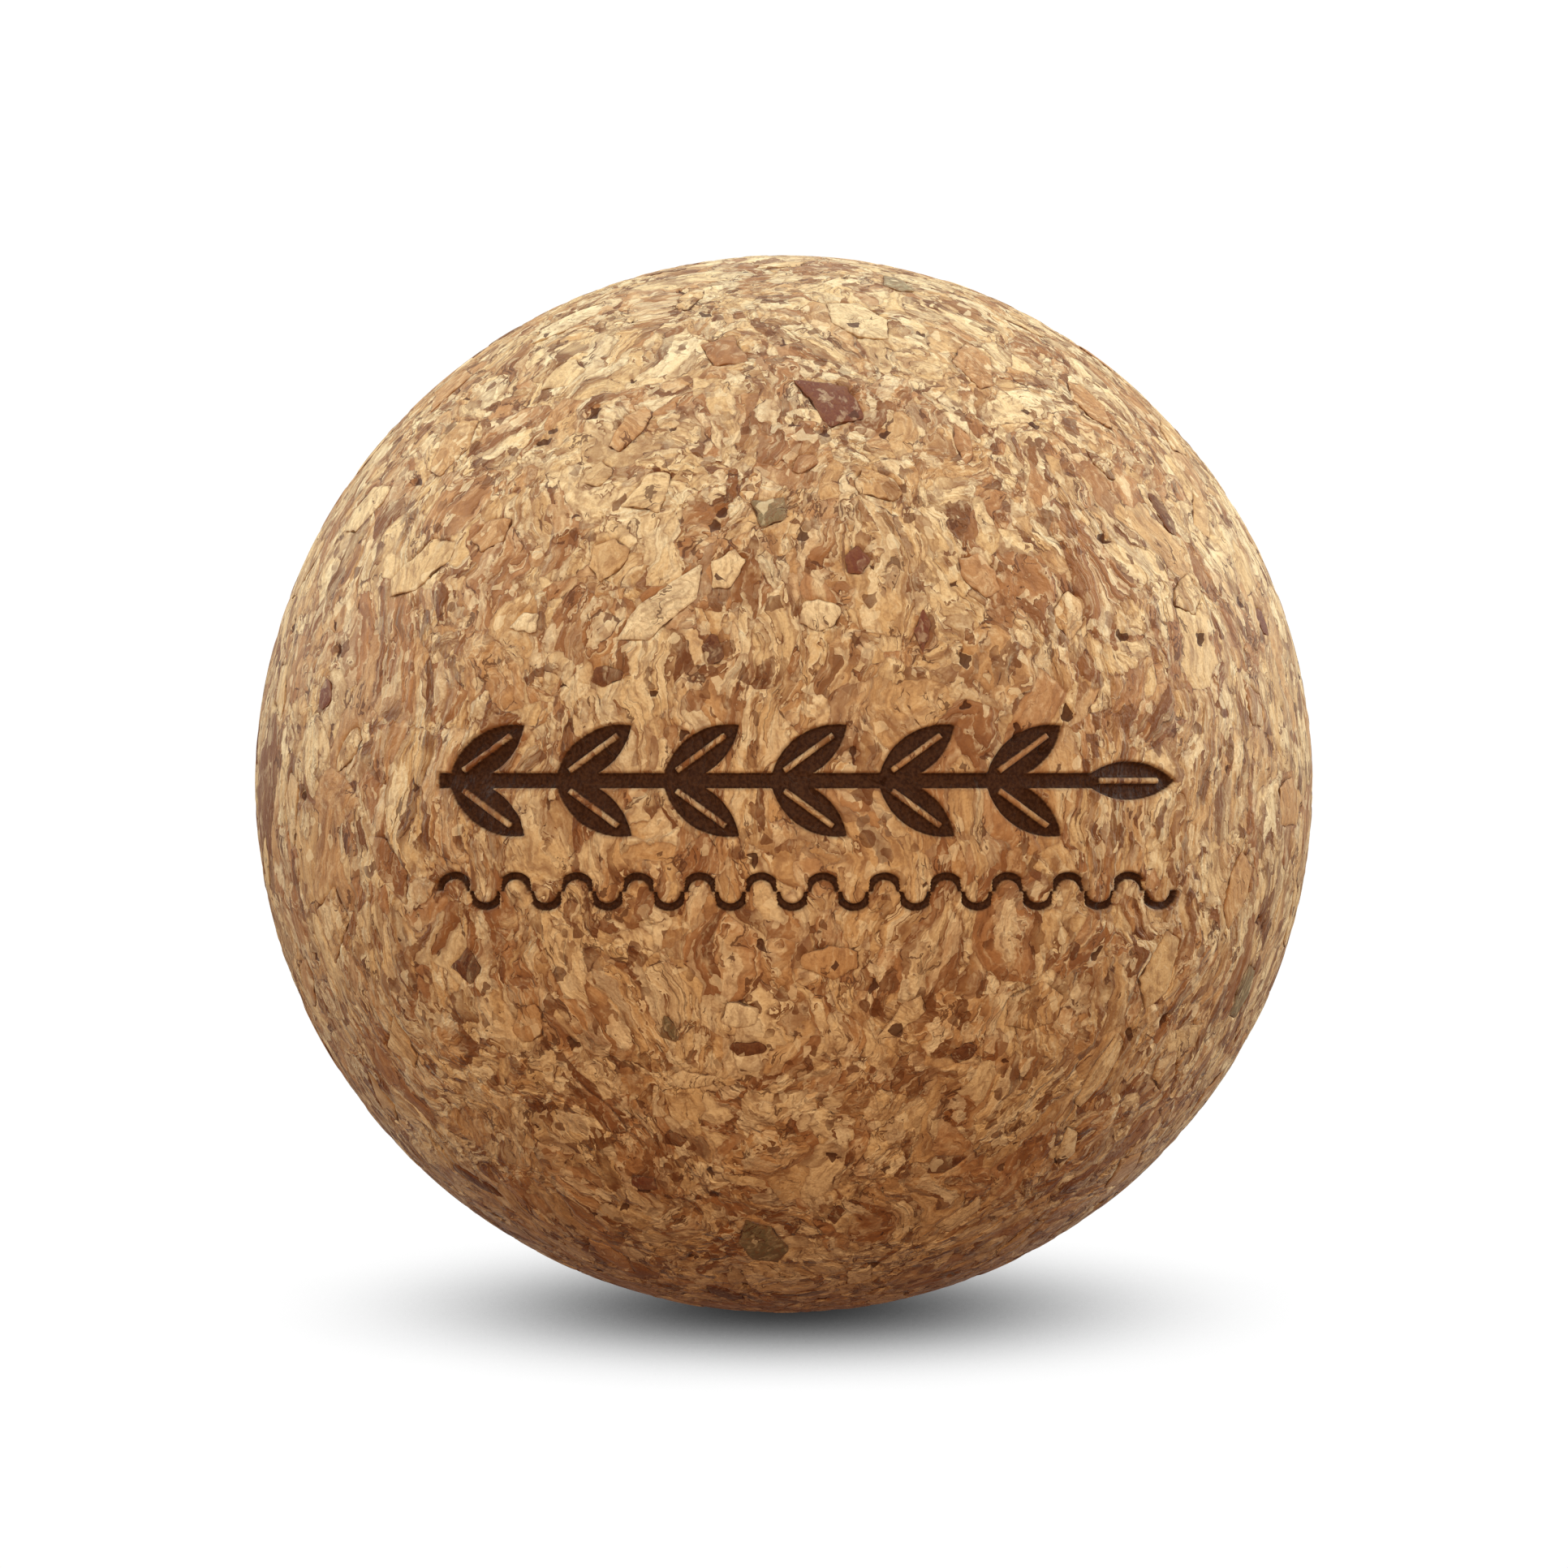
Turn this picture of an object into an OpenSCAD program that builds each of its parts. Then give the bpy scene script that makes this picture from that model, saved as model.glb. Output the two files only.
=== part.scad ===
// Cork massage ball: a solid ball turned from cork granulate bonded with resin.
// The fine granulate and its binder are one body. The coarse granules that show
// on the surface are separate solids, bedded in that body and ground flush.
// Origin at the ball's centre, +Z up, the engraved side faces -Y.
// A granule's place is [azimuth, elevation], where azimuth 0 is -Y and
// azimuth 90 is +X. Its length and width are degrees of arc on the ball.

/* [Ball] */
// Diameter of the finished ball
ball_d = 65; // [60:1:70]

/* [Coarse granules] */
// Places spread evenly over the ball where a coarse granule can lie
place_count = 200; // [120:10:220]
// Longest granule, as a share of the distance between two places
longest_share = 0.85; // [0.5:0.05:0.9]
// Narrowest granule, as a share of its own length
narrowest_share = 0.35; // [0.3:0.05:0.7]
// Deepest that a granule reaches below the surface
granule_t = 2; // [1:0.1:3]

/* [Engraving] */
// Length of the engraved sprig and of the wave line under it
mark_l = 44; // [36:0.5:46]
// Depth of the engraving
mark_t = 0.35; // [0.2:0.05:0.6]
// Length of one leaf of the sprig
leaf_l = 5.6; // [4:0.1:6.5]
// Width of one leaf of the sprig
leaf_w = 2.3; // [1.6:0.1:2.8]
// Angle between a leaf and the stem
leaf_angle = 36; // [25:1:50]
// Pairs of leaves along the stem
leaf_pairs = 6; // [4:1:7]
// Thickness of the stem
stem_w = 0.9; // [0.5:0.1:1.4]
// Thickness of the wave line
wave_w = 0.45; // [0.3:0.05:0.8]
// Number of whole waves in the wave line
wave_count = 12; // [8:1:14]

/* [Hidden] */
$fn = 240;

ball_r = ball_d / 2;
arc = PI * ball_d / 360;

// The engraving is cut square on, along a line this far above the horizon
mark_elevation = 7;
// Centre of the engraving, to the right of that line and above it
mark_x = 1.4;
mark_z = -1.5;
// The sprig's stem and the wave line, above and below the engraving's centre
stem_rise = 1.7;
wave_drop = 4.9;
// Clear band that no coarse granule enters, measured from the mark's centre
mark_clear_x = mark_l / 2 + 2.5;
mark_clear_z = 8.2;

leaf_pitch = (mark_l - leaf_l) / leaf_pairs;
rib_w = 0.35;
rib_start = 1;
wave_r = mark_l / wave_count / 4;

// Granules that stand out on the engraved side:
// [azimuth, elevation, length, width, turn of the long axis]
CREAM_SPOTS = [
    [-14, 26, 14, 4.5, 44], [-18, 39, 8, 5.5, 20], [-31, 23, 4.5, 3, 10],
    [-27, 41, 4, 3.5, 30], [-7, 30, 5, 4, 60], [4, 25, 5.5, 4, 5],
    [-5, -18, 5, 3.5, 5], [-11, -26, 6.5, 2.5, 5], [41, -27, 11, 3.5, 72]
];
HONEY_SPOTS = [
    [-22, 31, 5.5, 5, 60], [29, -18, 8, 6, 10], [13, 40, 6, 4, 150], [35, 24, 6, 4, 70]
];
TAN_SPOTS = [
    [5, -12, 7, 4, 5], [-40, 33, 6, 4, 35], [24, 29, 6.5, 4, 120], [-30, -20, 6, 4, 60]
];
BROWN_SPOTS = [
    [3, 43, 4, 2.5, 35], [-23, -31, 11, 3, 118], [51, 41, 5, 2, 105], [72, -27, 4, 3, 90]
];
RED_BARK_SPOTS = [
    [-8, 21, 4, 2.5, 100], [9, 31, 4, 3, 60], [-61, 13, 4, 3, 90], [16, 23, 5, 2, 80],
    [72, 20, 4, 3, 90], [-37, -14, 5, 4, 60], [-20, -41, 3.5, 3, 30]
];
DARK_BARK_SPOTS = [
    [-20, 18, 4, 2.5, 10], [58, 34, 6.5, 2.5, 95], [-4, -22, 4.5, 2, 0],
    [-14, -34, 3.5, 2.5, 0], [-53, -44, 8, 3, 140], [21, -23, 3.5, 2.5, 20],
    [33, -12, 2.5, 1.5, 90], [22, -38, 6, 3, 15], [8, -46, 3.5, 2, 80]
];
GREY_SPOTS = [
    [-2, 37, 5.5, 4.5, 30], [-13, -20, 4.5, 2, 95]
];
ALL_SPOTS = concat(
    CREAM_SPOTS, HONEY_SPOTS, TAN_SPOTS, BROWN_SPOTS, RED_BARK_SPOTS, DARK_BARK_SPOTS, GREY_SPOTS
);

// The rest of the surface: one granule at each place of an even spiral lattice
golden_angle = 180 * (3 - sqrt(5));
place_gap = 3.09 / sqrt(place_count) * 180 / PI;
longest = place_gap * longest_share;
widest_share = 0.75;
// Most that a granule's long axis leans away from the ball's own axis
lean = 60;
// Each kind takes the places whose draw is below its limit and above the last kind's
KIND_LIMITS = [0.3, 0.55, 0.78, 0.88, 0.93, 0.98, 1];

function draws(i, n) = rands(0, 1, n, 1000 + i);
function direction(az, el) = [cos(el) * sin(az), -cos(el) * cos(az), sin(el)];
function angle_between(a, b) =
    acos(min(1, direction(a[0], a[1]) * direction(b[0], b[1])));

// A lattice place as a granule: [azimuth, elevation, length, width, turn]
function place(i) = let (d = draws(i, 4), l = longest * (0.6 + 0.4 * d[0])) [
    i * golden_angle % 360,
    asin(1 - (2 * i + 1) / place_count),
    l,
    l * (narrowest_share + (widest_share - narrowest_share) * d[1]),
    90 + 2 * lean * (d[2] - 0.5)
];
function kind(i) = [for (k = [0:6]) if (draws(i, 4)[3] <= KIND_LIMITS[k]) k][0];

// Across and up from the mark's centre, seen along the line that it is cut on
function mark_x_of(g) = ball_r * cos(g[1]) * sin(g[0]) - mark_x;
function mark_z_of(g) = ball_r * (sin(g[1]) * cos(mark_elevation)
    - cos(g[1]) * cos(g[0]) * sin(mark_elevation)) - mark_z;
function faces_front(g) = abs(g[0]) < 90 || abs(g[0]) > 270;
function off_mark(g) = !faces_front(g)
    || abs(mark_x_of(g)) > mark_clear_x || abs(mark_z_of(g)) > mark_clear_z;
// The sphere's own seam runs down the back, and no granule lies across it
function off_seam(g) = cos(g[0]) > 0
    || asin(abs(cos(g[1]) * sin(g[0]))) > g[2] / 2 + 1;
function off_spots(g) =
    min([for (s = ALL_SPOTS) angle_between(g, s) - (g[2] + s[2]) / 2]) > 0.5;

PLACES = [for (i = [0:place_count - 1]) place(i)];
function is_clear(g) = off_mark(g) && off_seam(g) && off_spots(g);
function places_of(k) = [
    for (i = [0:place_count - 1]) if (kind(i) == k && is_clear(PLACES[i])) PLACES[i]
];

CREAM = concat(CREAM_SPOTS, places_of(0));
HONEY = concat(HONEY_SPOTS, places_of(1));
TAN = concat(TAN_SPOTS, places_of(2));
BROWN = concat(BROWN_SPOTS, places_of(3));
RED_BARK = concat(RED_BARK_SPOTS, places_of(4));
DARK_BARK = concat(DARK_BARK_SPOTS, places_of(5));
GREY = concat(GREY_SPOTS, places_of(6));

// Broken, 4 to 6 sided outline that stays inside an ellipse of length l and width w
function outline(l, w, seed) = let (n = 4 + floor(seed) % 3, d = rands(0, 1, 2 * n, seed)) [
    for (i = [0:n - 1])
        let (a = 360 * (i + 0.55 * d[i]) / n, r = 0.5 - 0.07 * d[n + i])
        [l * r * cos(a), w * r * sin(a)]
];

// Prism that reaches from a granule's underside to outside the ball
module granule_prism(g) {
    l = g[2] * arc;
    w = g[3] * arc;
    t = min(granule_t, 0.8 * w);
    rotate([0, 0, g[0]])
        rotate([90 - g[1], 0, 0])
            translate([0, 0, ball_r - t])
                rotate([0, 0, g[4]])
                    linear_extrude(t + 1) polygon(outline(l, w, 7 * abs(g[0]) + abs(g[1])));
}

module granules(list) {
    intersection() {
        sphere(d = ball_d);
        union() {
            for (g = list) granule_prism(g);
        }
    }
}

// Pointed leaf from the origin along +X, with its midrib left uncut
module leaf() {
    half_l = leaf_l / 2;
    half_w = leaf_w / 2;
    r = (half_l * half_l + half_w * half_w) / leaf_w;
    difference() {
        intersection() {
            translate([half_l, half_w - r]) circle(r);
            translate([half_l, r - half_w]) circle(r);
        }
        translate([rib_start, -rib_w / 2]) square([leaf_l - 2 * rib_start, rib_w]);
    }
}

module sprig() {
    translate([-mark_l / 2, -stem_w / 2]) square([mark_l - leaf_l + 0.5, stem_w]);
    for (i = [0:leaf_pairs - 1]) {
        translate([-mark_l / 2 + 0.6 + i * leaf_pitch, 0]) {
            rotate(leaf_angle) leaf();
            rotate(-leaf_angle) leaf();
        }
    }
    translate([mark_l / 2 - leaf_l, 0]) leaf();
}

// Half of a ring, above the line for side 1 and below it for side -1
module half_ring(side) {
    difference() {
        circle(wave_r + wave_w / 2);
        circle(wave_r - wave_w / 2);
        translate([-mark_l / 2, side > 0 ? -mark_l : 0]) square([mark_l, mark_l]);
    }
}

module wave_line() {
    for (i = [0:2 * wave_count - 1]) {
        translate([-mark_l / 2 + (2 * i + 1) * wave_r, 0]) half_ring(i % 2 == 0 ? 1 : -1);
    }
}

// The engraving as a cut of even depth below the ball's surface
module engraving_cut() {
    difference() {
        rotate([90 - mark_elevation, 0, 0])
            linear_extrude(ball_r + 1)
                translate([mark_x, mark_z]) {
                    translate([0, stem_rise]) sprig();
                    translate([0, -wave_drop]) wave_line();
                }
        sphere(d = ball_d - 2 * mark_t);
    }
}

module fine_granulate_body() {
    color("burlywood")
        difference() {
            rotate([0, 0, 90]) sphere(d = ball_d);
            for (list = [CREAM, HONEY, TAN, BROWN, RED_BARK, DARK_BARK, GREY]) {
                for (g = list) granule_prism(g);
            }
            engraving_cut();
        }
}

module cream_granules() {
    color("wheat") granules(CREAM);
}

module honey_granules() {
    color("goldenrod") granules(HONEY);
}

module tan_granules() {
    color("tan") granules(TAN);
}

module brown_granules() {
    color("peru") granules(BROWN);
}

module red_bark_chips() {
    color("sienna") granules(RED_BARK);
}

module dark_bark_chips() {
    color("saddlebrown") granules(DARK_BARK);
}

module grey_granules() {
    color("darkkhaki") granules(GREY);
}

fine_granulate_body();
cream_granules();
honey_granules();
tan_granules();
brown_granules();
red_bark_chips();
dark_bark_chips();
grey_granules();
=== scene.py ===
"""Looks of the cork massage ball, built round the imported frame.

Lengths on the ball are in millimetres, and a mesh is scaled to metres when it is
made. The floor, the lights and the camera are in metres.
"""

import math

import bmesh
import bpy
import numpy as np
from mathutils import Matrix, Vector


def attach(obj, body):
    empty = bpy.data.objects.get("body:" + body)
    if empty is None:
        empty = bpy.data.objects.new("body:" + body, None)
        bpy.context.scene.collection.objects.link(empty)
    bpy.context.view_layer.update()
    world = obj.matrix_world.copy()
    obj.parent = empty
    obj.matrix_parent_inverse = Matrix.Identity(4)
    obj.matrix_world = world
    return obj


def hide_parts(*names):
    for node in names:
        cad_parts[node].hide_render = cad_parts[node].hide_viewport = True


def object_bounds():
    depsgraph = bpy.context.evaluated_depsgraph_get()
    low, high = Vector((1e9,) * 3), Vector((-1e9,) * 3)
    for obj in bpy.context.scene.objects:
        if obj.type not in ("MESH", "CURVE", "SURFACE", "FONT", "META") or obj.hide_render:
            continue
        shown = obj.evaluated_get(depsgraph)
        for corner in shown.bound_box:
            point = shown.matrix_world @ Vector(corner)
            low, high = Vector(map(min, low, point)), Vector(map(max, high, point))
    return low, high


MM = 0.001

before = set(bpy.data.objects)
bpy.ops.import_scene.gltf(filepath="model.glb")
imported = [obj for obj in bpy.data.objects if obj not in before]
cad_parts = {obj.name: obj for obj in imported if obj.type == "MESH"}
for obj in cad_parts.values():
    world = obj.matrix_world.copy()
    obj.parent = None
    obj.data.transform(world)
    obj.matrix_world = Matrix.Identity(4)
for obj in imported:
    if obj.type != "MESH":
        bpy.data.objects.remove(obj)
cad_low, cad_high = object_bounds()
RADIUS = (cad_high.z - cad_low.z) / 2 / MM

# ---------------------------------------------------------------- node helper


class Graph:
    """Adds nodes to one node tree, and links them as they are made."""

    def __init__(self, tree):
        self.tree = tree

    def node(self, kind, inputs=(), **settings):
        n = self.tree.nodes.new(kind)
        for name, value in settings.items():
            setattr(n, name, value)
        for socket, value in dict(inputs).items():
            self.put(n.inputs[socket], value)
        return n

    def put(self, socket, value):
        if isinstance(value, bpy.types.NodeSocket):
            self.tree.links.new(value, socket)
        elif value is not None:
            socket.default_value = value

    def math(self, operation, a, b=None, c=None):
        n = self.node("ShaderNodeMath", operation=operation)
        for socket, value in zip(n.inputs, (a, b, c)):
            self.put(socket, value)
        return n.outputs[0]

    def vector(self, operation, a, b=None, scale=None):
        n = self.node("ShaderNodeVectorMath", operation=operation)
        self.put(n.inputs[0], a)
        self.put(n.inputs[1], b)
        self.put(n.inputs[3], scale)
        return n.outputs[1 if operation == "DOT_PRODUCT" else 0]

    def noise(self, at, scale, detail=2.0, roughness=0.5, distortion=0.0):
        n = self.node(
            "ShaderNodeTexNoise",
            {"Vector": at, "Scale": scale, "Detail": detail, "Roughness": roughness,
             "Distortion": distortion},
        )
        return n.outputs[0], n.outputs["Color"]

    def voronoi(self, at, size, feature="F1"):
        """Cells of about this size: distance in the coordinate's own units, and a random colour."""
        n = self.node(
            "ShaderNodeTexVoronoi", {"Vector": at, "Scale": 1 / size}, feature=feature
        )
        distance = self.math("MULTIPLY", n.outputs["Distance"], size)
        return distance, n.outputs.get("Color")

    def between(self, value, low, high, to_low=0.0, to_high=1.0):
        """Smooth step of value from low to high."""
        n = self.node(
            "ShaderNodeMapRange",
            {"Value": value, "From Min": low, "From Max": high, "To Min": to_low,
             "To Max": to_high},
            interpolation_type="SMOOTHSTEP",
        )
        return n.outputs[0]

    def blend(self, factor, a, b, kind="RGBA"):
        n = self.node("ShaderNodeMix", data_type=kind)
        sockets = {"RGBA": (6, 7, 2), "FLOAT": (2, 3, 0), "VECTOR": (4, 5, 1)}[kind]
        self.put(n.inputs[0], factor)
        self.put(n.inputs[sockets[0]], a)
        self.put(n.inputs[sockets[1]], b)
        return n.outputs[sockets[2]]

    def tint(self, base, factor, colour):
        """Base with this much of a colour laid over it."""
        return self.blend(factor, base, (*colour, 1))

    def ramp(self, value, stops):
        n = self.node("ShaderNodeValToRGB", {"Fac": value})
        band = n.color_ramp
        while len(band.elements) < len(stops):
            band.elements.new(0.5)
        for element, (place, colour) in zip(band.elements, stops):
            element.position = place
            element.color = (*colour, 1)
        return n.outputs[0]

    def split(self, vector):
        return self.node("ShaderNodeSeparateXYZ", {0: vector}).outputs

    def stir(self, at, scale, detail, reach):
        """Random offset that varies smoothly with the place, up to half of reach each way."""
        _, swirl = self.noise(at, scale, detail)
        return self.vector("SCALE", self.vector("SUBTRACT", swirl, HALF), scale=reach)


# ------------------------------------------------------------------- the cork

HALF = (0.5, 0.5, 0.5)

# Cork tones, linear, from the palest granules to dark bark. PALE, SIENNA and UMBER also give the
# painted highlight and painted shade on the crumpled layers
CREAM = (0.76, 0.54, 0.28)
STRAW = (0.69, 0.45, 0.205)
HONEY = (0.57, 0.32, 0.13)
TAN = (0.45, 0.215, 0.085)
RUSSET = (0.30, 0.12, 0.038)
BROWN = (0.15, 0.05, 0.016)
BARK = (0.075, 0.022, 0.012)
PALE = (0.86, 0.67, 0.39)
SIENNA = (0.215, 0.083, 0.032)
UMBER = (0.15, 0.05, 0.014)
CRACK = (0.1, 0.032, 0.012)
PIT = (0.09, 0.032, 0.015)
INK = (0.035, 0.011, 0.004)
INK_PALE = (0.065, 0.025, 0.01)

# The tones that a granule's draw, from 0 to 1, picks from
SKIN_TONES = [
    (0.0, BROWN), (0.04, RUSSET), (0.16, TAN), (0.42, HONEY), (0.7, STRAW), (0.94, CREAM)
]
SKIN_CRUMPLE = 1.0
# Frame node: its material slot, the tones of its chips, and how crumpled they are, which also sets
# the strength of their painted shade and painted highlights
CHIP_KINDS = {
    "cream_granules": ("cream_cork", [(0.0, STRAW), (0.4, CREAM), (1.0, PALE)], 0.3),
    "honey_granules": ("honey_cork", [(0.0, HONEY), (1.0, STRAW)], 0.6),
    "tan_granules": ("tan_cork", [(0.0, TAN), (1.0, HONEY)], 0.25),
    "brown_granules": ("brown_cork", [(0.0, RUSSET), (1.0, TAN)], 1.0),
    "red_bark_chips": ("red_bark", [(0.0, BARK), (1.0, (0.16, 0.045, 0.025))], 0.15),
    "dark_bark_chips": ("dark_bark", [(0.0, BARK), (1.0, BROWN)], 0.3),
    "grey_granules": ("grey_cork", [(0.0, (0.13, 0.1, 0.05)), (1.0, (0.24, 0.18, 0.09))], 0.2),
}

# Sizes of the granules that the skin shows, and the share of each size that is broken smaller
CELL_SIZES = (3.8, 2.4, 1.4)
BROKEN_SHARES = (0.75, 0.5, 0.0)
# What bends the cork's grain: noise frequency per millimetre, its detail, and its reach
SWIRLS = ((0.1, 1, 7.5), (0.4, 1, 1.6), (1.7, 2, 0.5))
# Range of the turn, in radians, between that and a granule's own grain
GRAIN_SPREAD = 1.1
# How the cells of each kind are drawn out along the grain
GRANULE_STRETCH = (1, 1, 0.55)
SHRED_STRETCH = (1, 1, 0.42)
SPECK_STRETCH = (1, 1, 0.7)
# Folded layers across the whole range of the noise that lays them; each layer carries painted shade
# and a painted highlight
FOLDS = 5
# Width of the shreds inside a granule
SHRED_WIDTH = 1.0
# Small angular specks, and the share of them that are holes
SPECK_SIZE = 0.6
PIT_SHARE = 0.008

# The engraving, as the frame has it: a leaf sprig above a wave line
MARK_ELEVATION = math.radians(7)
MARK_X, MARK_Z = 1.4, -1.5
MARK_LENGTH = 44
MARK_HALF_HEIGHT = 8
MARK_DEPTH = 0.35
STEM_RISE, STEM_WIDTH, STEM_OVERLAP = 1.7, 0.9, 0.5
LEAF_LENGTH, LEAF_WIDTH, LEAF_PAIRS = 5.6, 2.3, 6
LEAF_ANGLE = math.radians(36)
FIRST_LEAF = 0.6
RIB_START, RIB_WIDTH = 1, 0.35
WAVE_DROP, WAVE_WIDTH, WAVES = 4.9, 0.45, 12

# The engraving's walls and the sockets' walls: offset from the outline where each starts and ends
MARK_WALL = (0.05, -0.08)
SOCKET_WALL = (0.02, -0.3)
SOCKET_DEPTH = 0.7
# How far round a chip the skin knows its distance from it
GAP_MARGIN = 1.5

# The skin's relief: worn granule edges, granules that sit low, open joints, pits
SKIN_SUBDIVISIONS = 8
EDGE_WEAR, EDGE_WEAR_REACH = 0.06, 0.35
LOW_GRANULE = 0.05
JOINT_DEPTH, JOINT_REACH = 0.15, 0.25
PIT_DEPTH = 0.3

# The chips: steps along and across a chip, how far its sides are broken, how its rim is worn,
# how it tilts, and its root as depths below the surface, each with a share of the outline
OUTLINE_STEP = 0.22
RING_STEP = 0.25
RAGGED = 0.1
WORN, WORN_REACH = 0.05, 0.1
TILT = 0.012
ROOT_RINGS = ((0.5, 0.99), (1.2, 0.93))
ROOT_FOOT = 1.3
# A frame vertex this close to the ball's surface is on a chip's face
SURFACE_SLACK = 0.05

# Edges that turn more than this stay crisp
SHARP = math.radians(50)
# A distance beyond any outline, and the turn below which three points count as in line
FAR = 9.0
TINY = 1e-6


def flow(g, at):
    """The coordinate that the cork is laid in: upright grain, bent by swirls of three sizes."""
    q = at
    for scale, detail, reach in SWIRLS:
        q = g.vector("ADD", q, g.stir(at, scale, detail, reach))
    return g.vector("MULTIPLY", q, GRANULE_STRETCH)


def granule_cells(g, at):
    """Nested cells of three sizes: a random vector per granule, and how far its border is."""
    q = flow(g, at)
    _, granule = g.voronoi(q, CELL_SIZES[0])
    border, _ = g.voronoi(q, CELL_SIZES[0], "DISTANCE_TO_EDGE")
    broken = g.math("LESS_THAN", g.split(granule)[0], BROKEN_SHARES[0])
    for size, broken_share in zip(CELL_SIZES[1:], BROKEN_SHARES[1:]):
        _, piece = g.voronoi(q, size)
        edge, _ = g.voronoi(q, size, "DISTANCE_TO_EDGE")
        granule = g.blend(broken, granule, piece, "VECTOR")
        border = g.math("MINIMUM", border, g.blend(broken, FAR, edge, "FLOAT"))
        again = g.math("LESS_THAN", g.split(piece)[0], broken_share)
        broken = g.math("MULTIPLY", broken, again)
    return granule, border


def specks(g, at):
    """Small angular cells: their random draw, and the distance to their border."""
    q = g.vector("MULTIPLY", g.vector("ADD", at, g.stir(at, 1.2, 1, 0.7)), SPECK_STRETCH)
    _, which = g.voronoi(q, SPECK_SIZE)
    edge, _ = g.voronoi(q, SPECK_SIZE, "DISTANCE_TO_EDGE")
    return g.split(which), edge


def pits(g, at):
    """Depth share, 0 to 1, of the small angular holes that dot the cork."""
    draw, edge = specks(g, at)
    hole = g.math("GREATER_THAN", draw[0], 1 - PIT_SHARE)
    return g.math("MULTIPLY", hole, g.between(edge, 0.0, 0.09))


def joint_width(g, at):
    """How wide the open joint between granules is here, in millimetres."""
    opening, _ = g.noise(at, 0.8, 2)
    return g.between(opening, 0.58, 0.8, 0.0, 0.1)


def cork_colour(g, at, granule, border, tones, crumple):
    """Colour of cork at a point, with painted shade and painted highlights on its crumpled layers,
    and the fine height that its bump shows.
    """
    pick = g.split(granule)
    turn = g.vector("SCALE", g.vector("SUBTRACT", granule, HALF), scale=GRAIN_SPREAD)
    grain = g.node(
        "ShaderNodeVectorRotate",
        {"Vector": flow(g, at), "Rotation": turn},
        rotation_type="EULER_XYZ",
    ).outputs[0]
    grain = g.vector("MULTIPLY", grain, SHRED_STRETCH)

    # Each granule's own tone, with long bands in it
    tone = g.ramp(pick[1], tones)
    bands, _ = g.noise(grain, 0.6, 2, 0.6)
    tone = g.tint(tone, g.between(bands, 0.48, 0.72, 0, 0.7 * crumple), SIENNA)
    tone = g.tint(tone, g.between(bands, 0.45, 0.25, 0, 0.7 * crumple), CREAM)

    # Crumpled layers, with painted light: painted shade across each layer, a painted highlight on
    # the lip that ends it, and a painted shadow line under the lip
    patch, _ = g.noise(at, 0.5, 2)
    crumpled = g.between(patch, 0.36, 0.56, 0.45 * crumple, crumple)
    crumpled = g.math("MULTIPLY", crumpled, g.between(pick[2], 0.75, 0.85, 1.0, 0.25))
    folds, _ = g.noise(grain, 0.75, 3, 0.55, 0.5)
    layer = g.math("FRACT", g.math("MULTIPLY", folds, FOLDS))
    shade = g.math("MULTIPLY", g.between(layer, 0.0, 0.45, 0.65, 0.0), crumpled)
    painted_shadow_under_lip = g.math("MULTIPLY", g.between(layer, 0.02, 0.14, 0.8, 0.0), crumpled)
    painted_lip_highlight = g.math("MULTIPLY", g.between(layer, 0.7, 0.97, 0.0, 0.6), crumpled)
    tone = g.tint(tone, painted_lip_highlight, PALE)
    tone = g.tint(tone, shade, SIENNA)
    tone = g.tint(tone, painted_shadow_under_lip, UMBER)

    # Shreds: slim angular flakes along the grain
    _, shred = g.voronoi(g.vector("ADD", grain, g.stir(grain, 1.6, 2, 0.6)), SHRED_WIDTH)
    shred = g.split(shred)
    tone = g.tint(tone, g.math("MULTIPLY", g.between(shred[0], 0.6, 1, 0, 0.85), crumpled), SIENNA)
    tone = g.tint(tone, g.math("MULTIPLY", g.between(shred[1], 0.5, 1, 0, 0.75), crumpled), PALE)
    tone = g.tint(tone, g.math("MULTIPLY", g.between(shred[2], 0.85, 0.92, 0, 0.9), crumpled), BROWN)

    # Fibres and dust
    fibres, _ = g.noise(grain, 2.6, 2, 0.6)
    tone = g.tint(tone, g.between(fibres, 0.47, 0.72, 0.0, 0.5), SIENNA)
    tone = g.tint(tone, g.between(fibres, 0.46, 0.3, 0.0, 0.3), PALE)
    speckle, _ = g.noise(at, 6.0, 2, 0.6)
    tone = g.tint(tone, g.between(speckle, 0.4, 0.75, 0.0, 0.3), RUSSET)
    draw, _ = specks(g, at)
    tone = g.tint(tone, g.between(draw[1], 0.93, 0.97, 0.0, 0.5), PALE)
    tone = g.tint(tone, g.math("MULTIPLY", g.between(draw[2], 0.93, 0.95, 0, 0.8), crumpled), BROWN)

    # Thin cracks along the grain, and open joints
    strain, _ = g.noise(at, 0.45, 1)
    open_by = g.between(strain, 0.53, 0.72, -0.002, 0.022)
    split = g.math("ABSOLUTE", g.math("SUBTRACT", folds, 0.47))
    split = g.math("LESS_THAN", split, open_by)
    joint = g.math("LESS_THAN", border, joint_width(g, at))
    tone = g.tint(tone, g.between(border, 0.0, 0.12, 0.3, 0.0), SIENNA)
    crack = g.math("MAXIMUM", split, joint)
    tone = g.tint(tone, g.math("MULTIPLY", crack, 0.75), CRACK)
    hole = pits(g, at)
    tone = g.tint(tone, g.math("MULTIPLY", g.math("GREATER_THAN", hole, 0.2), 0.9), PIT)

    # What each of these adds to the fine height, in millimetres
    height = g.math("MULTIPLY", g.math("MULTIPLY", layer, crumpled), 0.12)
    for part, rise in ((fibres, 0.05), (shred[2], 0.03), (speckle, 0.03), (crack, -0.1)):
        height = g.math("ADD", height, g.math("MULTIPLY", part, rise))
    return tone, height


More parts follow.
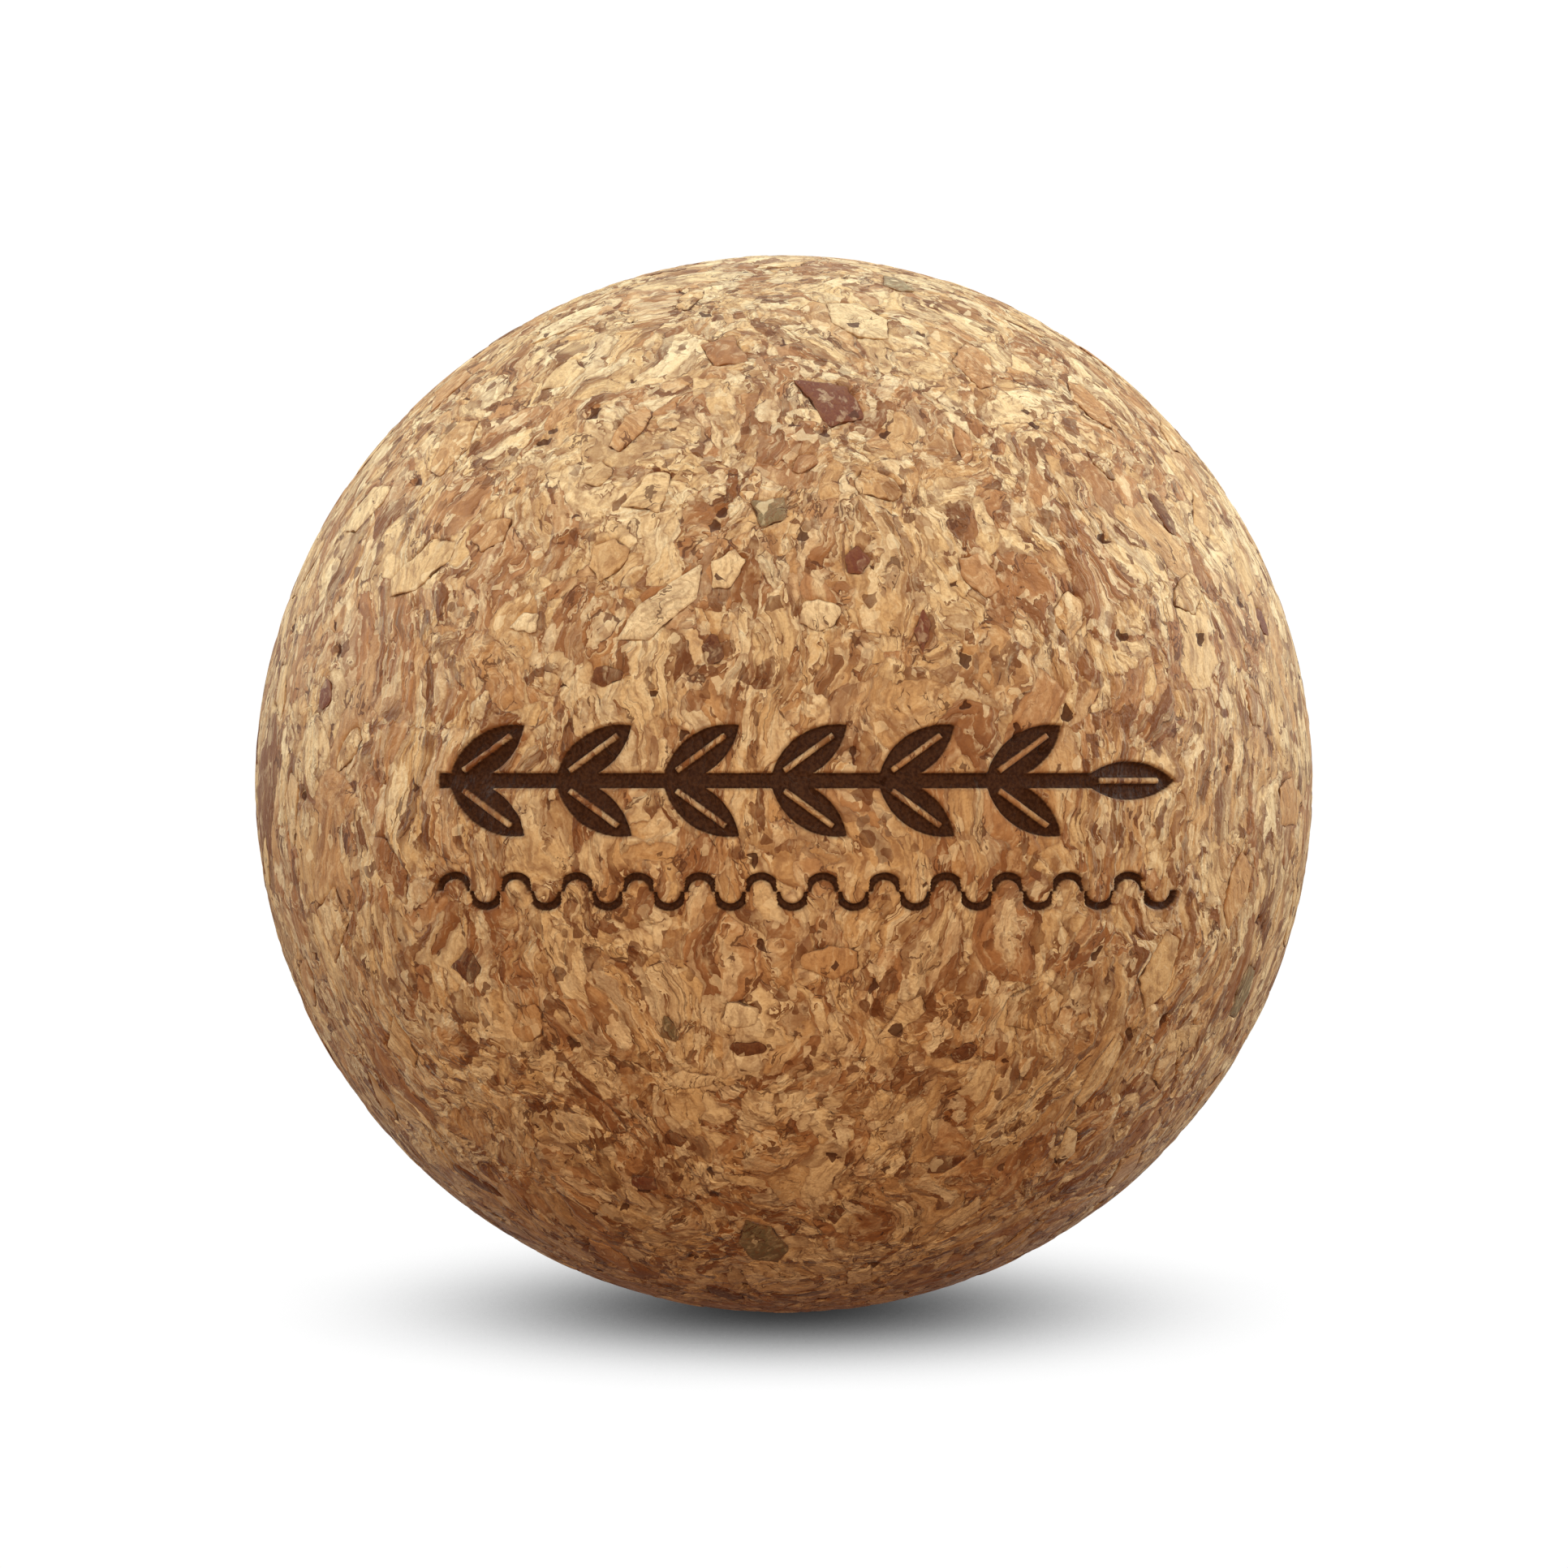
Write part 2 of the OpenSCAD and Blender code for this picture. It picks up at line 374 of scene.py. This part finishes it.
def matte(material, g, tone, height):
    """Dry sanded cork: hardly any gloss, and a faint dusty sheen."""
    shader = material.node_tree.nodes["Principled BSDF"]
    shader.inputs["Roughness"].default_value = 0.6
    shader.inputs["Specular IOR Level"].default_value = 0.1
    shader.inputs["Sheen Weight"].default_value = 0.12
    shader.inputs["Sheen Roughness"].default_value = 0.35
    bump = g.node("ShaderNodeBump", {"Strength": 1.0, "Distance": MM, "Height": height})
    g.put(shader.inputs["Base Color"], tone)
    g.put(shader.inputs["Normal"], bump.outputs[0])


def skin_material():
    """Small and middling granules in binder, with the burned floor of the engraving."""
    material = bpy.data.materials.new("fine_granulate")
    material.use_nodes = True
    g = Graph(material.node_tree)
    at = g.node("ShaderNodeTexCoord").outputs["Object"]
    at = g.vector("SCALE", g.vector("NORMALIZE", at), scale=RADIUS)
    granule, border = granule_cells(g, at)
    tone, height = cork_colour(g, at, granule, border, SKIN_TONES, SKIN_CRUMPLE)

    gap = g.node("ShaderNodeAttribute", attribute_name="chip_gap").outputs["Fac"]
    tone = g.tint(tone, g.between(gap, 0.0, 0.08, 0.4, 0.0), SIENNA)

    mark = g.node("ShaderNodeAttribute", attribute_name="mark").outputs["Fac"]
    ragged, _ = g.noise(at, 5.0, 3)
    mark = g.math("ADD", mark, g.math("MULTIPLY_ADD", ragged, 0.06, -0.03))
    char = g.blend(g.between(ragged, 0.35, 0.65), (*INK, 1), (*INK_PALE, 1))
    tone = g.tint(tone, g.between(mark, 0.05, 0.25, 0.45, 0.0), UMBER)
    tone = g.blend(g.between(mark, -0.03, 0.04, 1.0, 0.0), tone, char)
    matte(material, g, tone, height)
    return material


def chip_material(name, tones, crumple):
    """Cork or bark of one kind; each chip's own draw and edge come from its mesh."""
    material = bpy.data.materials.new(name)
    material.use_nodes = True
    g = Graph(material.node_tree)
    at = g.node("ShaderNodeTexCoord").outputs["Object"]
    at = g.vector("SCALE", at, scale=1 / MM)
    granule = g.node("ShaderNodeAttribute", attribute_name="chip_draw").outputs["Vector"]
    border = g.node("ShaderNodeAttribute", attribute_name="chip_edge").outputs["Fac"]
    tone, height = cork_colour(g, at, granule, border, tones, crumple)
    matte(material, g, tone, height)
    return material


# ------------------------------------------------------------- the engraving

# Signed distances in the plane that the engraving was cut square on to:
# negative inside a stroke, positive on bare cork


def mark_plane(points):
    """Across and up from the engraving's centre, and whether the point faces it."""
    up = np.array((0, math.sin(MARK_ELEVATION), math.cos(MARK_ELEVATION)))
    out = np.array((0, -math.cos(MARK_ELEVATION), math.sin(MARK_ELEVATION)))
    return points[:, 0] - MARK_X, points @ up - MARK_Z, points @ out > 0


def bar(x, z, left, right, width):
    return np.maximum(np.abs(x - (left + right) / 2) - (right - left) / 2, np.abs(z) - width / 2)


def leaf(x, z, angle):
    """Pointed leaf from the origin, with its midrib left uncut."""
    c, s = math.cos(angle), math.sin(angle)
    along, across = c * x + s * z, -s * x + c * z
    half_l, half_w = LEAF_LENGTH / 2, LEAF_WIDTH / 2
    r = (half_l**2 + half_w**2) / LEAF_WIDTH
    lens = np.hypot(along - half_l, np.abs(across) + r - half_w) - r
    rib = bar(along, across, RIB_START, LEAF_LENGTH - RIB_START, RIB_WIDTH)
    return np.maximum(lens, -rib)


def sprig(x, z):
    left = -MARK_LENGTH / 2
    pitch = (MARK_LENGTH - LEAF_LENGTH) / LEAF_PAIRS
    shape = bar(x, z, left, -left - LEAF_LENGTH + STEM_OVERLAP, STEM_WIDTH)
    for i in range(LEAF_PAIRS):
        x_leaf = x - left - FIRST_LEAF - i * pitch
        for angle in (LEAF_ANGLE, -LEAF_ANGLE):
            shape = np.minimum(shape, leaf(x_leaf, z, angle))
    return np.minimum(shape, leaf(x + left + LEAF_LENGTH, z, 0))


def wave_line(x, z):
    """Half rings, turn about above and below the line."""
    r = MARK_LENGTH / WAVES / 4
    left = -MARK_LENGTH / 2
    number = np.clip(np.floor((x - left) / (2 * r)), 0, 2 * WAVES - 1)
    side = np.where(number % 2 == 0, 1, -1)
    ring = np.abs(np.hypot(x - left - (2 * number + 1) * r, z) - r) - WAVE_WIDTH / 2
    return np.maximum(ring, -side * z)


def mark_distance(points):
    x, z, facing = mark_plane(points)
    shape = np.minimum(sprig(x, z - STEM_RISE), wave_line(x, z + WAVE_DROP))
    return np.where(facing, shape, FAR)


# ------------------------------------------------------------ coarse granules


def unit(v):
    return v / np.linalg.norm(v, axis=-1, keepdims=True)


class Chip:
    """One coarse granule of the frame: where it lies, and its outline on the surface."""

    def __init__(self, points):
        radii = np.linalg.norm(points, axis=1)
        top = points[radii > RADIUS - SURFACE_SLACK]
        self.out = unit(top.mean(axis=0))
        self.right = unit(np.cross((0, 0, 1), self.out))
        self.up = np.cross(self.out, self.right)
        self.corners = hull(self.flat(top))
        self.reach = np.hypot(*self.corners.T).max()

    def flat(self, points):
        return np.stack((points @ self.right, points @ self.up), axis=1)

    def edge_distance(self, points):
        """Signed distance to the outline: negative over the chip."""
        flat = self.flat(points)
        start, end = self.corners, np.roll(self.corners, -1, axis=0)
        along = unit(end - start)
        outward = np.stack((along[:, 1], -along[:, 0]), axis=1)
        return ((flat[:, None, :] - start[None]) * outward[None]).sum(axis=2).max(axis=1)


def hull(flat):
    """Convex outline of flat points, anticlockwise."""
    flat = flat[np.lexsort((flat[:, 1], flat[:, 0]))]
    halves = []
    for row in (flat, flat[::-1]):
        half = []
        for p in row:
            while len(half) > 1 and np.cross(half[-1] - half[-2], p - half[-2]) <= TINY:
                half.pop()
            half.append(p)
        halves += half[:-1]
    return np.array(halves)


def chips_of(node):
    """The separate solids of a node of the frame, as chips."""
    bm = bmesh.new()
    bm.from_mesh(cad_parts[node].data)
    bmesh.ops.remove_doubles(bm, verts=bm.verts, dist=1e-6)
    bm.verts.ensure_lookup_table()
    found, seen = [], set()
    for first in bm.verts:
        if first.index in seen:
            continue
        island, queue = [], [first]
        seen.add(first.index)
        while queue:
            v = queue.pop()
            island.append(v.co / MM)
            for e in v.link_edges:
                w = e.other_vert(v)
                if w.index not in seen:
                    seen.add(w.index)
                    queue.append(w)
        found.append(Chip(np.array(island)))
    bm.free()
    return found


def ragged_outline(chip, rng):
    """The chip's outline at even steps, worn at the corners and broken along its sides."""
    corners = np.vstack((chip.corners, chip.corners[:1]))
    steps = np.hypot(*np.diff(corners, axis=0).T)
    total = steps.sum()
    count = max(16, int(total / OUTLINE_STEP))
    s = np.arange(count) / count * total
    at = np.concatenate(((0,), np.cumsum(steps)))
    line = np.stack([np.interp(s, at, corners[:, k]) for k in (0, 1)], axis=1)
    turn = np.arange(count) / count * math.tau
    rough = sum(
        rng.normal() * np.cos(k * turn) / k + rng.normal() * np.sin(k * turn) / k
        for k in range(3, count // 3)
    )
    length = np.hypot(*line.T)
    return line * (1 + RAGGED * np.clip(rough, -1.5, 1.5) / length)[:, None]


def chip_solid(chip, rng):
    """Closed solid of one chip: vertices, faces, and each vertex's distance from the edge."""
    outline = ragged_outline(chip, rng)
    count = len(outline)
    half = np.hypot(*outline.T).min()
    rings = max(4, int(chip.reach / RING_STEP))
    shares = (np.arange(1, rings + 1) / rings) ** 0.8
    tilt = rng.normal(size=2) * TILT
    points, edges = [chip.out * RADIUS], [half]
    for share in shares:
        flat = outline * share
        edge = (1 - share) * half
        worn = WORN * math.exp(-edge / WORN_REACH)
        height = RADIUS - worn + flat @ tilt
        spot = unit(chip.out * RADIUS + flat[:, :1] * chip.right + flat[:, 1:] * chip.up)
        points += list(spot * height[:, None])
        edges += [edge] * count
    for depth, share in ROOT_RINGS:
        flat = outline * share
        spot = unit(chip.out * RADIUS + flat[:, :1] * chip.right + flat[:, 1:] * chip.up)
        points += list(spot * (RADIUS - depth))
        edges += [0.0] * count
    points.append(chip.out * (RADIUS - ROOT_FOOT))
    edges.append(0.0)
    faces = [(0, 1 + i, 1 + (i + 1) % count) for i in range(count)]
    for ring in range(rings + 1):
        a, b = 1 + ring * count, 1 + (ring + 1) * count
        faces += [(a + i, b + i, b + (i + 1) % count, a + (i + 1) % count) for i in range(count)]
    last, foot = 1 + (rings + 1) * count, len(points) - 1
    faces += [(last + (i + 1) % count, last + i, foot) for i in range(count)]
    return np.array(points), faces, edges


def add_mesh(name, points, faces, material):
    mesh = bpy.data.meshes.new(name)
    mesh.from_pydata([tuple(p) for p in points * MM], [], faces)
    mesh.shade_smooth()
    mesh.set_sharp_from_angle(angle=SHARP)
    mesh.materials.append(material)
    piece = bpy.data.objects.new(name, mesh)
    bpy.context.scene.collection.objects.link(piece)
    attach(piece, "root")
    return piece


def store(mesh, name, values, kind="FLOAT"):
    field = "vector" if kind == "FLOAT_VECTOR" else "value"
    layer = mesh.attributes.new(name, kind, "POINT")
    layer.data.foreach_set(field, np.asarray(values, dtype=np.float32).ravel())


def chip_group(node, chips, rng):
    slot, tones, crumple = CHIP_KINDS[node]
    points, faces, edges, draws = [], [], [], []
    for chip in chips:
        p, f, e = chip_solid(chip, rng)
        faces += [tuple(len(points) + k for k in face) for face in f]
        points += list(p)
        edges += e
        draws += [rng.random(3)] * len(p)
    material = chip_material(node, tones, crumple)
    piece = add_mesh(node + "_broken", np.array(points), faces, material)
    store(piece.data, "chip_edge", edges)
    store(piece.data, "chip_draw", np.array(draws), "FLOAT_VECTOR")
    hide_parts(node)


# --------------------------------------------------------------- the ball skin


def relief(piece):
    """Moves the skin's vertices by the same granules, joints and pits that its colours show."""
    tree = bpy.data.node_groups.new("relief", "GeometryNodeTree")
    tree.interface.new_socket("Geometry", in_out="INPUT", socket_type="NodeSocketGeometry")
    tree.interface.new_socket("Geometry", in_out="OUTPUT", socket_type="NodeSocketGeometry")
    g = Graph(tree)
    entry = g.node("NodeGroupInput")
    out = g.vector("NORMALIZE", g.node("GeometryNodeInputPosition").outputs[0])
    at = g.vector("SCALE", out, scale=RADIUS)
    granule, border = granule_cells(g, at)
    depth = g.between(border, 0.0, EDGE_WEAR_REACH, EDGE_WEAR, 0.0)
    depth = g.math("ADD", depth, g.math("MULTIPLY", g.split(granule)[2], LOW_GRANULE))
    wide = g.between(joint_width(g, at), 0.03, 0.13, 0, JOINT_DEPTH)
    joint = g.between(border, 0.0, JOINT_REACH, 1, 0)
    depth = g.math("ADD", depth, g.math("MULTIPLY", wide, joint))
    depth = g.math("ADD", depth, g.math("MULTIPLY", pits(g, at), PIT_DEPTH))
    offset = g.vector("SCALE", out, scale=g.math("MULTIPLY", depth, -MM))
    move = g.node("GeometryNodeSetPosition", {"Geometry": entry.outputs[0], "Offset": offset})
    exit_node = g.node("NodeGroupOutput")
    g.put(exit_node.inputs[0], move.outputs[0])
    modifier = piece.modifiers.new("relief", "NODES")
    modifier.node_group = tree
    bpy.context.view_layer.objects.active = piece
    bpy.ops.object.modifier_apply(modifier=modifier.name)


def smooth_step(value, low, high):
    t = np.clip((value - low) / (high - low), 0, 1)
    return t * t * (3 - 2 * t)


def sphere_mesh():
    """Even triangles over the ball, three times finer where the engraving is."""
    bm = bmesh.new()
    bmesh.ops.create_icosphere(bm, subdivisions=SKIN_SUBDIVISIONS, radius=1)
    spots = np.array([v.co for v in bm.verts]) * RADIUS
    x, z, facing = mark_plane(spots)
    near = facing & (np.abs(x) < MARK_LENGTH / 2 + 1) & (np.abs(z) < MARK_HALF_HEIGHT)
    dense = [e for e in bm.edges if near[e.verts[0].index] and near[e.verts[1].index]]
    bmesh.ops.subdivide_edges(bm, edges=dense, cuts=2, use_grid_fill=True)
    for v in bm.verts:
        v.co.normalize()
    bmesh.ops.triangulate(bm, faces=[f for f in bm.faces if len(f.verts) > 4])
    points = np.array([v.co for v in bm.verts]) * RADIUS
    faces = [tuple(v.index for v in f.verts) for f in bm.faces]
    bm.free()
    return points, faces


def ball_skin(chips):
    points, faces = sphere_mesh()
    piece = add_mesh("fine_granulate_skin", points, faces, skin_material())
    relief(piece)
    mesh = piece.data
    flat = np.empty(3 * len(mesh.vertices), dtype=np.float32)
    mesh.vertices.foreach_get("co", flat)
    moved = flat.reshape(-1, 3).astype(float) / MM
    mark = mark_distance(points)
    gap = np.full(len(points), FAR)
    for chip in chips:
        level = math.sqrt(RADIUS**2 - (chip.reach + GAP_MARGIN) ** 2)
        near = np.flatnonzero(points @ chip.out > level)
        gap[near] = np.minimum(gap[near], chip.edge_distance(points[near]))
    drop = MARK_DEPTH * smooth_step(mark, *MARK_WALL)
    drop += SOCKET_DEPTH * smooth_step(gap, *SOCKET_WALL)
    moved -= unit(points) * drop[:, None]
    mesh.vertices.foreach_set("co", (moved * MM).astype(np.float32).ravel())
    mesh.update()
    store(mesh, "mark", mark)
    store(mesh, "chip_gap", gap)
    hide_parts("fine_granulate_body")


# ------------------------------------------------------- floor, lights, camera

# In metres: the dome that the camera sees, and how far the ball shades the floor
DOME_RADIUS = 1.2
SHADOW_REACH = 0.3
CAMERA_ELEVATION = math.radians(7)
CAMERA_DISTANCE = 0.8
CAMERA_LENS = 298.8
# How far the lit room leans towards the viewer
ROOM_LEAN = math.radians(8)
# The room's light from straight below to straight above
ROOM_LIGHT = [
    (0.0, (0.0, 0.0, 0.0)), (0.175, (0.08, 0.0, 0.0)), (0.325, (0.1, 0.0, 0.0)),
    (0.44, (0.4, 0.14, 0.03)), (0.55, (0.75, 0.59, 0.38)), (0.75, (0.3, 0.33, 0.3)),
    (1.0, (0.65, 0.85, 1.1))
]


def emission_material(name, colour, strength):
    material = bpy.data.materials.new(name)
    material.use_nodes = True
    g = Graph(material.node_tree)
    glow = g.node("ShaderNodeEmission", {"Color": (*colour, 1), "Strength": strength})
    output = material.node_tree.nodes["Material Output"]
    g.put(output.inputs["Surface"], glow.outputs[0])
    return material


def stage():
    """White floor that glows, with the ball's soft contact shadow painted into its glow from ambient
    occlusion, and a white dome that the camera sees.
    """
    bpy.ops.mesh.primitive_plane_add(size=2 * DOME_RADIUS, location=(0, 0, cad_low.z))
    floor = bpy.context.object
    floor.name = "floor"
    paint = emission_material("floor", (1, 1, 1), 1.0)
    g = Graph(paint.node_tree)
    occlusion = g.node("ShaderNodeAmbientOcclusion", {"Distance": SHADOW_REACH}, samples=32)
    glow = paint.node_tree.nodes["Emission"]
    # Painted shadow: the floor glows, and its glow is dimmed by ambient occlusion where the ball
    # hides the room
    g.put(glow.inputs["Strength"], g.between(occlusion.outputs["AO"], -0.07, 0.68, 0.0, 1.02))
    floor.data.materials.append(paint)
    bpy.ops.mesh.primitive_uv_sphere_add(segments=48, ring_count=24, radius=DOME_RADIUS)
    dome = bpy.context.object
    dome.name = "dome"
    dome.data.materials.append(emission_material("dome", (1, 1, 1), 1.5))
    for backdrop in (floor, dome):
        for ray in ("diffuse", "glossy", "transmission", "volume_scatter", "shadow"):
            setattr(backdrop, f"visible_{ray}", False)


def area_light(name, place, size, watts, colour):
    data = bpy.data.lights.new(name, "AREA")
    data.shape = "DISK"
    data.size = size
    data.energy = watts
    data.color = colour
    light = bpy.data.objects.new(name, data)
    light.location = place
    light.rotation_euler = (-Vector(place)).to_track_quat("-Z", "Y").to_euler()
    bpy.context.scene.collection.objects.link(light)


def lights():
    """A room that is cool above, pale level with the ball and dark below, and four softboxes."""
    world = bpy.data.worlds.new("studio")
    bpy.context.scene.world = world
    world.use_nodes = True
    g = Graph(world.node_tree)
    way = g.node("ShaderNodeTexCoord").outputs["Generated"]
    up = g.vector("DOT_PRODUCT", way, (0, -math.sin(ROOM_LEAN), math.cos(ROOM_LEAN)))
    sky = g.ramp(g.math("MULTIPLY_ADD", up, 0.5, 0.5), ROOM_LIGHT)
    background = world.node_tree.nodes["Background"]
    background.inputs["Strength"].default_value = 1.0
    g.put(background.inputs["Color"], sky)
    area_light("front_softbox", (0, -0.5, 0.06), 0.4, 1.5, (1, 0.76, 0.54))
    area_light("overhead_softbox", (0, 0.12, 0.55), 0.4, 2.65, (0.92, 0.99, 1))
    area_light("left_rim", (-0.5, 0.2, 0.15), 0.3, 2.1, (0.85, 0.97, 1))
    area_light("right_rim", (0.5, 0.2, 0.15), 0.3, 2.9, (0.85, 0.97, 1))


def camera():
    """Aimed at the ball's centre, from a little above it."""
    out, up = math.cos(CAMERA_ELEVATION), math.sin(CAMERA_ELEVATION)
    data = bpy.data.cameras.new("camera")
    data.lens = CAMERA_LENS
    data.clip_start = 0.01
    view = bpy.data.objects.new("camera", data)
    view.location = (0, -CAMERA_DISTANCE * out, CAMERA_DISTANCE * up)
    view.rotation_euler = (math.pi / 2 - CAMERA_ELEVATION, 0, 0)
    bpy.context.scene.collection.objects.link(view)
    bpy.context.scene.camera = view


camera()
stage()
lights()
rng = np.random.default_rng(7)
chips = {node: chips_of(node) for node in CHIP_KINDS}
ball_skin([chip for group in chips.values() for chip in group])
for node in CHIP_KINDS:
    chip_group(node, chips[node], rng)
bpy.context.scene.view_settings.view_transform = "Standard"
